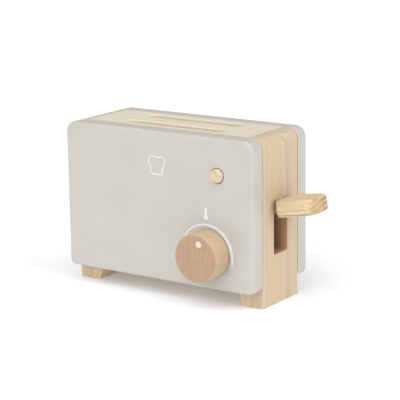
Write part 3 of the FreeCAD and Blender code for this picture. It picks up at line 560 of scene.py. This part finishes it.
@dataclass(frozen=True)
class Metal(Finish):
    """Plated steel or nickel, with the faint drawn lines of wire and pressed parts.

    The lines lie a little over half a millimetre apart, and only the sheen shows them.
    """

    colour: str
    roughness: float
    line: float = 5 / 9

    def sockets(self, tree: Tree) -> dict[str, Socket | float | tuple]:
        """Draw the metal.

        Args:
            tree: The material's node tree.

        Returns:
            The colour, that it is a metal, and the roughness.
        """
        place = add_node(tree, "TexCoord").outputs["Object"]
        lines = add_node(tree, "TexNoise", {"Scale": 1 / (self.line * MM), "Detail": 2.0},
                         {"Vector": place}).outputs["Fac"]
        feel = Feel(self.roughness, swing=0.08)
        return {"Base Color": linear(self.colour), "Metallic": 1.0, **feel.sockets(tree, lines)}


@dataclass(frozen=True)
class LitSheet(Finish):
    """Opal sheet with a lamp under it: even, matt and without any figure."""

    colour: str
    roughness: float
    glow: float

    def sockets(self, tree: Tree) -> dict[str, Socket | float | tuple]:
        """Give the sheet's even colour and its own light."""
        return {"Base Color": linear(self.colour), "Roughness": self.roughness,
                "Emission Color": linear(WHITE), "Emission Strength": self.glow}


# Satin water-based paint on fibreboard: warm pale grey, an even soft sheen. The boards'
# inner faces are left raw, the brown of pressed wood fibre, and that brown reaches a little
# onto the inner edges' rounding as a thin line of painted shade at the joints.
GREY_PAINT = Coating(
    "satin_paint_on_fibreboard", "#c1beb6", "#beb9b2", roughness=0.34, peel=1.4,
    raw_board_and_joint_shade="#b08a66", raw_and_shade_from=-18.4, raw_and_shade_to=39.9,
)
# Screen ink: a thin matt film, off-white where the grey shows through.
WHITE_INK = Coating("white_screen_ink", "#e5e6e3", "#e0e0dc", roughness=0.62, peel=0.7)
# The dial's dot: a brushed drop of cream enamel.
CREAM_ENAMEL = Coating("cream_enamel_dot", "#e6d8c3", "#decdb3", roughness=0.45, peel=0.9)
# Extruded polyethylene sheet, punched: a milky, slightly waxy white.
WASHER_PLASTIC = Coating("polyethylene_washer", "#e6e3da", "#e0dcd2", roughness=0.4, peel=2.0)
# Zinc-plated steel wire and screws: cool grey, softly bright.
ZINC_STEEL = Metal("zinc_plated_steel", "#c9c9cc", roughness=0.34)
# Nickel plate on the magnet: warmer and brighter than the zinc.
NICKEL = Metal("nickel_plated_magnet", "#cfc9bd", roughness=0.22)
# The table: white opal acrylic, lit from below so that only the shadows show on it.
LIT_ACRYLIC = LitSheet("white_lit_acrylic", "#f2f4f7", roughness=0.9, glow=0.14)


# ---------------------------------------------------------------- surfaces


def circle(count: int) -> np.ndarray:
    """Angles of points spaced evenly round a circle, in radians from 0."""
    return np.linspace(0, 2 * np.pi, count, endpoint=False)


def eased(count: int) -> np.ndarray:
    """Numbers from 0 to 1, closer together at both ends: half of 1 - cos(pi t)."""
    return (1 - np.cos(np.pi * np.linspace(0, 1, count))) / 2


def smooth(share: np.ndarray) -> np.ndarray:
    """Ease a share from 0 to 1 in and out: t^2 (3 - 2 t)."""
    return share * share * (3 - 2 * share)


def boxed(wave: np.ndarray) -> np.ndarray:
    """Push a circle's coordinate v towards a rounded square's: sign(v) |v|^0.3."""
    return np.sign(wave) * np.abs(wave) ** SECTION_POWER


def polar(
    centre: tuple[float, float] | np.ndarray, radius: np.ndarray | float, angle: np.ndarray | float
) -> np.ndarray:
    """Points of a face at a radius and an angle about a centre: (x + r cos a, z + r sin a)."""
    return np.stack([centre[0] + radius * np.cos(angle), centre[1] + radius * np.sin(angle)], -1)


def skin(name: str, grid: np.ndarray, looped: bool = False) -> bpy.types.Object:
    """Make a closed mesh from a grid of rings.

    Ring i is joined to ring i + 1 by quads, and each ring closes on itself. The first and
    last ring are joined to one another when looped, and else each closes in a fan to its own
    middle point. The faces are turned outwards by the sign of the enclosed volume, which is
    the sum of each triangle's a . (b x c) / 6.

    Args:
        name: The piece's name.
        grid: Points in millimetres, shaped (rings, points of a ring, 3).
        looped: Whether the last ring meets the first.

    Returns:
        The new object, smooth shaded, at the origin.
    """
    rings, around, _ = grid.shape
    ring = np.arange(rings if looped else rings - 1)[:, None]
    spot = np.arange(around)[None, :]
    after, beside = (ring + 1) % rings, (spot + 1) % around
    quads = np.stack([ring * around + spot, ring * around + beside,
                      after * around + beside, after * around + spot], -1).reshape(-1, 4)
    points = grid.reshape(-1, 3) * MM
    faces = quads.tolist()
    halves = np.concatenate([quads[:, [0, 1, 2]], quads[:, [0, 2, 3]]])
    if not looped:
        middles = grid[[0, -1]].mean(1) * MM
        first, last = len(points), len(points) + 1
        points = np.concatenate([points, middles])
        at, to = spot[0], beside[0]
        low = np.stack([to, at, np.full(around, first)], -1)
        high = np.stack([at, to, np.full(around, last)], -1)
        high[:, :2] += (rings - 1) * around
        faces += low.tolist() + high.tolist()
        halves = np.concatenate([halves, low, high])
    a, b, c = (points[halves[:, k]] for k in range(3))
    if np.einsum("ij,ij->", a, np.cross(b, c)) < 0:
        faces = [face[::-1] for face in faces]
    mesh = bpy.data.meshes.new(name)
    mesh.from_pydata(points.tolist(), [], faces)
    mesh.polygons.foreach_set("use_smooth", np.ones(len(faces), bool))
    mesh.update()
    made = bpy.data.objects.new(name, mesh)
    bpy.context.scene.collection.objects.link(made)
    return made


def stroke(
    name: str, centre: np.ndarray, half_width: np.ndarray, face: float, looped: bool = False
) -> bpy.types.Object:
    """Make a printed stroke on a face whose outward side is -Y.

    The section is a superellipse: across is boxed(cos a) times the half width, and depth is
    boxed(sin a) times half the film. The film is centred a quarter of its thickness above
    the face, so that its back lies inside the face. The direction across is the centre
    line's tangent turned by a right angle in the face.

    Args:
        name: The piece's name.
        centre: The stroke's middle line, (points, 2), as x and z in millimetres.
        half_width: Half the stroke's width at each point.
        face: The face's y.
        looped: Whether the stroke meets its own start.

    Returns:
        The printed piece.
    """
    if looped:
        tangent = np.roll(centre, -1, 0) - np.roll(centre, 1, 0)
    else:
        tangent = np.gradient(centre, axis=0)
    tangent /= np.linalg.norm(tangent, axis=1, keepdims=True)
    across = np.stack([-tangent[:, 1], tangent[:, 0]], -1)
    angle = circle(SECTION_POINTS) + np.pi / SECTION_POINTS
    wide = boxed(np.cos(angle))[None, :] * half_width[:, None]
    flat = centre[:, None, :] + across[:, None, :] * wide[..., None]
    depth = np.broadcast_to(face - FILM / 4 - boxed(np.sin(angle)) * FILM / 2, wide.shape)
    return skin(name, np.stack([flat[..., 0], depth, flat[..., 1]], -1), looped)


def round_ends(along: np.ndarray, half_width: np.ndarray) -> np.ndarray:
    """Narrow a stroke to round ends.

    Within one half width w of an end, at a distance s from it, the half width is
    sqrt(w^2 - (w - s)^2), and never under the thinnest.

    Args:
        along: Distance along the stroke at each point.
        half_width: Half width before the ends are rounded.

    Returns:
        Half width at each point.
    """
    short = np.clip(half_width - np.minimum(along - along[0], along[-1] - along), 0, None)
    return np.maximum(np.sqrt(np.clip(half_width ** 2 - short ** 2, 0, None)), THINNEST)


# ---------------------------------------------------------------- the toy's parts


def dress(finish: Finish, *nodes: str) -> bpy.types.Material:
    """Give one finish to CAD nodes, on the slots that they already have.

    Args:
        finish: The finish.
        nodes: The nodes' names.

    Returns:
        The material that they share.
    """
    material = finish.material()
    for node in nodes:
        for slot in frame["nodes"][node].material_slots:
            slot.material = material
        log.info("%s dressed with %s", node, material.name)
    return material


def mount(
    piece: bpy.types.Object, material: bpy.types.Material, body: str
) -> bpy.types.Object:
    """Finish a new piece and let it ride on a body.

    Args:
        piece: The new piece.
        material: Its material.
        body: The body that carries it.

    Returns:
        The same piece.
    """
    piece.data.materials.append(material)
    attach(piece, body)
    log.info("%s made with %d points, rides on %s", piece.name, len(piece.data.vertices), body)
    return piece


@dataclass
class Case:
    """The two painted faces, the pine boards between them and the front's printed marks.

    Each mark is given by its place on the front face and its sizes, and the arc also by the
    angles at which it starts, is fullest and ends, in degrees up from the dial's right. The
    slice has half its width and height, a lobe's x, z and radius from its middle, and half
    its line's width.
    """

    face: float = -33.8
    arc_centre: tuple[float, float] = (32.4, 46.8)
    arc_radius: float = 26.9
    arc_start: float = 153.0
    arc_full: float = 14.0
    arc_end: float = -20.0
    arc_thin: float = 0.8
    arc_thick: float = 3.4
    arc_points: int = 97
    gauge_x: float = 31.6
    gauge_low: float = 76.8
    gauge_high: float = 87.6
    gauge_bulb: float = 2.1
    gauge_stem: float = 1.1
    gauge_points: int = 65
    slice_centre: tuple[float, float] = (-19.6, 118.8)
    slice_half: tuple[float, float] = (6.4, 7.4)
    slice_lobe: Point = (4.1, 3.9, 4.5)
    slice_line: float = 0.4
    slice_power: int = 7
    slice_soft: int = 3
    slice_points: int = 240

    def build(self) -> None:
        """Dress the case's boards and print its marks."""
        self.dress_boards()
        ink = WHITE_INK.material()
        for piece in (self.heat_arc(), self.gauge(), self.slice_outline()):
            mount(piece, ink, "case")

    def dress_boards(self) -> None:
        """Give each board its own cut, so that no two show the same figure."""
        dress(GREY_PAINT, "front_panel", "back_panel")
        # The right end board's lever slot has painted shade on its walls.
        dress(Wood("pine_right_end", PINE, Grain.HEIGHT, (-30.0, 66.0, 0.0), lean=(0.8, -0.6),
                   sway=4.0, slot_shading=LEVER_SLOT_SHADE), "right_end_board")
        dress(Wood("pine_left_end", PINE, Grain.HEIGHT, (-70.0, -60.0, 0.0), lean=(-1.0, 1.0),
                   sway=4.0), "left_end_board")
        # The top board is the pine with a painted sheen, and its bread slots have painted light
        # and shade.
        dress(Wood("pine_top", PINE_WITH_PAINTED_SHEEN, Grain.LENGTH, (0.0, 70.0, 60.0), lean=(0.0, 0.8),
                   slot_shading=BREAD_SLOT_LIGHT_AND_SHADE), "top_board")
        dress(Wood("pine_bottom", PINE, Grain.LENGTH, (0.0, -4.0, -30.0)), "bottom_board")
        # The foot blocks' pine is painted lighter, against the shade under the panels.
        dress(Wood("pine_feet", PINE_PAINTED_LIGHTER, Grain.DEPTH, (0.0, 0.0, -45.0)),
              "left_foot_block", "right_foot_block")
        dress(Wood("beech_dowels", BEECH, Grain.DEPTH, (0.0, 0.0, 60.0)), "panel_dowels")
        dress(Wood("beech_frame_dowels", BEECH, Grain.LENGTH, (0.0, 0.0, 60.0)), "frame_dowels")
        dress(Wood("beech_posts", BEECH, Grain.HEIGHT, (-60.0, 0.0, 0.0)),
              "pivot_post_front", "pivot_post_back", "spring_peg", "release_bracket")
        dress(ZINC_STEEL, "foot_screws", "lever_pivot_pin", "release_pivot_pin")

    def heat_arc(self) -> bpy.types.Object:
        """Print the swelling arc round the dial.

        The outer edge is a circle about a point just left of the dial's centre, and the middle
        line lies half a width inside. The width grows evenly with the angle up to the fullest
        place. From there it falls by t^2 (3 - 2 t), where t is what is left of the way.

        Returns:
            The arc.
        """
        degrees = self.arc_start + (self.arc_end - self.arc_start) * eased(self.arc_points)
        grown = np.clip((self.arc_start - degrees) / (self.arc_start - self.arc_full), 0, 1)
        left = np.clip((degrees - self.arc_end) / (self.arc_full - self.arc_end), 0, 1)
        width = self.arc_thin + (self.arc_thick - self.arc_thin) * grown * smooth(left)
        angle = np.radians(degrees)
        centre = polar(self.arc_centre, self.arc_radius - width / 2, angle)
        along = np.abs(angle - angle[0]) * self.arc_radius
        return stroke("heat_arc", centre, round_ends(along, width / 2), self.face)

    def gauge(self) -> bpy.types.Object:
        """Print the small thermometer: a stem with a round top that swells to a round bulb.

        The half width is the stem's or, where that is more, the bulb's: sqrt(r^2 - h^2) at a
        height h over the bulb's middle.

        Returns:
            The thermometer.
        """
        height = self.gauge_low + (self.gauge_high - self.gauge_low) * eased(self.gauge_points)
        stem = round_ends(height, np.full(len(height), self.gauge_stem))
        above = height - self.gauge_low - self.gauge_bulb
        bulb = np.sqrt(np.clip(self.gauge_bulb ** 2 - above ** 2, 0, None))
        centre = np.stack([np.full(len(height), self.gauge_x), height], -1)
        return stroke("heat_gauge", centre, np.maximum(bulb, stem), self.face)

    def slice_outline(self) -> bpy.types.Object:
        """Print the outline of a slice of bread.

        In polar form the loaf is ((|cos a| / w)^7 + (|sin a| / h)^7)^(-1/7), a rounded block.
        Each lobe is a circle about (x, z): u + sqrt(u^2 - x^2 - z^2 + r^2) with
        u = x cos a + z sin a, where the root is real. The outline is the outermost of the
        three, averaged over a few points to either side so that their corners are soft.

        Returns:
            The outline.
        """
        angle, power = circle(self.slice_points) - np.pi / 2, self.slice_power
        cos, sin = np.cos(angle), np.sin(angle)
        wide, high = self.slice_half
        radius = ((np.abs(cos) / wide) ** power + (np.abs(sin) / high) ** power) ** (-1 / power)
        out, up, round_off = self.slice_lobe
        for x in (out, -out):
            u = x * cos + up * sin
            root = u ** 2 - x ** 2 - up ** 2 + round_off ** 2
            radius = np.maximum(radius, np.where(root > 0, u + np.sqrt(np.abs(root)), 0))
        shifts = range(-self.slice_soft, self.slice_soft + 1)
        radius = np.mean([np.roll(radius, shift) for shift in shifts], axis=0)
        line = np.full(len(angle), self.slice_line)
        return stroke("slice_outline", polar(self.slice_centre, radius, angle), line, self.face,
                      looped=True)


@dataclass(frozen=True)
class Spring:
    """A coil spring of round wire with one closed turn at each end.

    It stands at its foot along its axis, its wire starts on the side given, and its radius
    is measured outside. The wire is given by its own radius, and the pitch of a closed turn
    is a multiple of that. The wire lies closed for part of a turn at each end, and opens over
    the next whole turn.
    """

    name: str
    node: str
    foot: Point
    axis: Point
    side: Point
    length: float
    radius: float
    wire: float
    turns: float
    joint: str
    keep: float
    closed: float = 2.1
    closed_turns: float = 0.5
    rings_per_turn: int = 40
    wire_points: int = 12

    def build(self, steel: bpy.types.Material) -> bpy.types.Object:
        """Wind the wire and hang it on the case.

        The wire's middle follows foot + axis * h + r (side cos t + across sin t). The pitch
        is a little over the wire's thickness in the first and last turn and even between, and
        h is its running sum. Each ring of the wire is a circle in the plane of the outward
        direction and the axis.

        Args:
            steel: The wire's material.

        Returns:
            The spring.
        """
        turn = np.linspace(0, self.turns, int(self.turns * self.rings_per_turn) + 1)
        blend = smooth(np.clip(np.minimum(turn, self.turns - turn) - self.closed_turns, 0, 1))
        closed, total = self.closed * self.wire, self.length - 2 * self.wire
        step = np.gradient(turn)
        pitch = closed + blend * (total - closed * self.turns) / (blend * step).sum()
        height = np.cumsum(pitch * step)
        height = self.wire + (height - height[0]) * total / (height[-1] - height[0])
        axis, side = np.array(self.axis), np.array(self.side)
        outward = (np.cos(2 * np.pi * turn)[:, None] * side
                   + np.sin(2 * np.pi * turn)[:, None] * np.cross(axis, side))
        middle = np.array(self.foot) + height[:, None] * axis + (self.radius - self.wire) * outward
        around = circle(self.wire_points)
        ring = (np.cos(around)[None, :, None] * outward[:, None, :]
                + np.sin(around)[None, :, None] * axis) * self.wire
        piece = skin(self.name, middle[:, None, :] + ring)
        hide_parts(self.node)
        mount(piece, steel, "case")
        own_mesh(piece)
        return piece


@dataclass
class Lever:
    """The swinging carrier: its arm and grip, the cross bars and the rests for the slices."""

    rest_angle: float = 8.5
    coil: Spring = Spring(
        "lift_coil", "lift_spring", foot=(-5.641, 10.7, 27.55), axis=(0.0, 0.0, 1.0),
        side=(1.0, 0.0, 0.0), length=39.2, radius=5.5, wire=0.6, turns=7.0,
        joint="lever_swing", keep=0.58,
    )

    def build(self) -> None:
        """Dress the lever's pieces, with the grain along its arm, and wind its spring."""
        lean = (0.0, self.rest_angle)
        dress(Wood("beech_grip", STRAW_BEECH, Grain.LENGTH, (100.0, 60.0, -140.0), lean=lean),
              "lever_handle")
        dress(Wood("beech_arm", BEECH, Grain.LENGTH, (0.0, 40.0, 75.0), lean=lean),
              "lever_arm", "toast_rest_front", "toast_rest_back")
        dress(Wood("beech_crossbars", BEECH, Grain.DEPTH, (0.0, 0.0, 20.0)),
              "crossbar_left", "crossbar_right")
        dress(Wood("beech_peg", BEECH, Grain.HEIGHT, (60.0, 0.0, 0.0)), "handle_dowel")
        self.coil.build(dress(ZINC_STEEL, "rest_screws", "crossbar_screws", "keeper_plate"))


@dataclass
class Dial:
    """The turned knob with its pointer dot, and what carries it.

    The dot's middle is lifted from the knob's and turned clockwise from the top by degrees.
    It rises above the face and is seated a little below it, and its rings are shares of its
    radius, of which the last two close its back.
    """

    centre: tuple[float, float] = (34.559, 47.5)
    front: float = -55.2
    dot_lift: float = 13.7
    dot_turn: float = 15.5
    dot_radius: float = 2.8
    dot_rise: float = 0.12
    dot_seat: float = 0.04
    dot_rings: tuple[float, ...] = (0.02, 0.25, 0.5, 0.7, 0.85, 0.95, 1.0, 0.5, 0.02)
    dot_points: int = 40

    def build(self) -> None:
        """Dress the knob and print its dot."""
        dress(Wood("beech_dial", BEECH, Grain.DEPTH, (210.0, 0.0, 40.0)), "dial_knob")
        dress(Wood("beech_axle", BEECH, Grain.DEPTH, (32.9, 0.0, 80.0)),
              "knob_axle", "knob_retainer")
        dress(WASHER_PLASTIC, "knob_washer")
        mount(self.dot(), CREAM_ENAMEL.material(), "dial")

    def dot(self) -> bpy.types.Object:
        """Print the dot: a shallow dome, rise * (1 - r^4), closed by two rings at its seat.

        Returns:
            The dot.
        """
        middle = polar(self.centre, self.dot_lift, math.radians(90 - self.dot_turn))
        share = np.array(self.dot_rings)
        rise = self.dot_rise * (1 - share ** 4)
        rise[-2:] = -self.dot_seat
        flat = polar(middle, share[:, None] * self.dot_radius, circle(self.dot_points))
        depth = np.broadcast_to(self.front - rise[:, None], flat.shape[:2])
        return skin("dial_dot", np.stack([flat[..., 0], depth, flat[..., 1]], -1))


@dataclass
class Release:
    """The push button, its collar, and the catch that lets the lever go."""

    coil: Spring = Spring(
        "return_coil", "release_spring", foot=(43.759, -17.75, 66.0), axis=(0.0, 1.0, 0.0),
        side=(1.0, 0.0, 0.0), length=7.2, radius=2.5, wire=0.3, turns=4.0,
        joint="button_push", keep=0.6,
    )

    def build(self) -> None:
        """Dress the button and the catch, and wind the return spring."""
        dress(Wood("beech_button", CREAM_BEECH, Grain.DEPTH, (60.0, 0.0, 130.0)), "release_button")
        dress(Wood("beech_collar", BEECH, Grain.HEIGHT, (90.0, -40.0, 0.0)),
              "button_collar", "release_lever")
        dress(NICKEL, "latch_magnet")
        self.coil.build(ZINC_STEEL.material())


# ---------------------------------------------------------------- studio


def bearing(azimuth: float, elevation: float) -> Vector:
    """Work out the direction from the toy towards a lamp or the camera.

    For the azimuth a and the elevation e it is (sin a cos e, -cos a cos e, sin e).

    Args:
        azimuth: Degrees from the front towards the lever's end.
        elevation: Degrees above the floor.

    Returns:
        The direction, one long.
    """
    a, e = math.radians(azimuth), math.radians(elevation)
    return Vector((math.sin(a) * math.cos(e), -math.cos(a) * math.cos(e), math.sin(e)))


@dataclass(frozen=True)
class Lamp:
    """A wide, even light a long way off: where it stands, how wide it looks and how bright it is.

    Its angles are degrees, and its power is the brightness that a white card turned to the
    lamp would have.
    """

    label: str
    azimuth: float
    elevation: float
    spread: float
    power: float

    def build(self) -> None:
        """Hang the lamp with its beam towards the toy."""
        data = bpy.data.lights.new(self.label, "SUN")
        data.energy, data.angle = self.power * math.pi, math.radians(self.spread)
        lamp = bpy.data.objects.new(self.label, data)
        towards = bearing(self.azimuth, self.elevation)
        lamp.rotation_euler = towards.to_track_quat("Z", "Y").to_euler()
        bpy.context.scene.collection.objects.link(lamp)


@dataclass
class Studio:
    """A white lit table, wide soft lamps, an even white room, and the camera.

    The table's radius is metres, and so are the nearest and the farthest thing that the
    camera sees. The eye, the lens and the sensor are millimetres.
    """

    lamps: tuple[Lamp, ...] = (
        Lamp("key_lamp", azimuth=0.0, elevation=45.0, spread=70.0, power=0.60),
        Lamp("end_lamp", azimuth=95.0, elevation=35.0, spread=60.0, power=0.41),
        Lamp("top_lamp", azimuth=0.0, elevation=85.0, spread=60.0, power=0.10),
    )
    room: float = 0.38
    table_radius: float = 30.0
    table_points: int = 64
    eye: Point = (758.11, -1091.59, 397.52)
    azimuth: float = 34.695
    elevation: float = 13.285
    roll: float = -0.832
    lens: float = 138.8
    sensor: float = 36.0
    sight: tuple[float, float] = (0.05, 100.0)

    def build(self) -> None:
        """Set up the floor, the lamps, the room and the camera."""
        bpy.context.scene.view_settings.view_transform = "Standard"
        self.floor()
        self.world()
        for lamp in self.lamps:
            lamp.build()
        self.camera()

    def floor(self) -> None:
        """Lay the table, a flat disc with points radius * (cos a, sin a, 0)."""
        around = circle(self.table_points)
        ring = np.stack([np.cos(around), np.sin(around), 0 * around], -1) * self.table_radius
        mesh = bpy.data.meshes.new("floor")
        mesh.from_pydata(ring.tolist(), [], [list(range(len(ring)))])
        mesh.materials.append(LIT_ACRYLIC.material())
        laid = bpy.data.objects.new("floor", mesh)
        bpy.context.scene.collection.objects.link(laid)

    def world(self) -> None:
        """Surround the toy with an even white light."""
        world = bpy.data.worlds.new("white_room")
        world.use_nodes = True
        back = world.node_tree.nodes["Background"]
        back.inputs["Color"].default_value = linear(WHITE)
        back.inputs["Strength"].default_value = self.room
        bpy.context.scene.world = world

    def camera(self) -> None:
        """Stand the camera at its eye point, looking back along its bearing.

        Its right and up directions are level and upright ones, turned by the roll about that.
        """
        back = bearing(self.azimuth, self.elevation)
        a, roll = math.radians(self.azimuth), math.radians(self.roll)
        level = Vector((math.cos(a), math.sin(a), 0.0))
        upright = back.cross(level)
        right = level * math.cos(roll) + upright * math.sin(roll)
        up = upright * math.cos(roll) - level * math.sin(roll)
        data = bpy.data.cameras.new("camera")
        data.lens, data.sensor_width = self.lens, self.sensor
        data.clip_start, data.clip_end = self.sight
        camera = bpy.data.objects.new("camera", data)
        turn = Matrix((right, up, back)).transposed().to_4x4()
        camera.matrix_world = Matrix.Translation(Vector(self.eye) * MM) @ turn
        bpy.context.scene.collection.objects.link(camera)
        bpy.context.scene.camera = camera


def main() -> None:
    """Build the toy's sub-assemblies and the studio."""
    logging.basicConfig(level=logging.INFO, format="%(name)s: %(message)s")
    for part in (Case(), Lever(), Dial(), Release(), Studio()):
        part.build()
        log.info("%s is built", type(part).__name__)


if __name__ == "__main__":
    main()
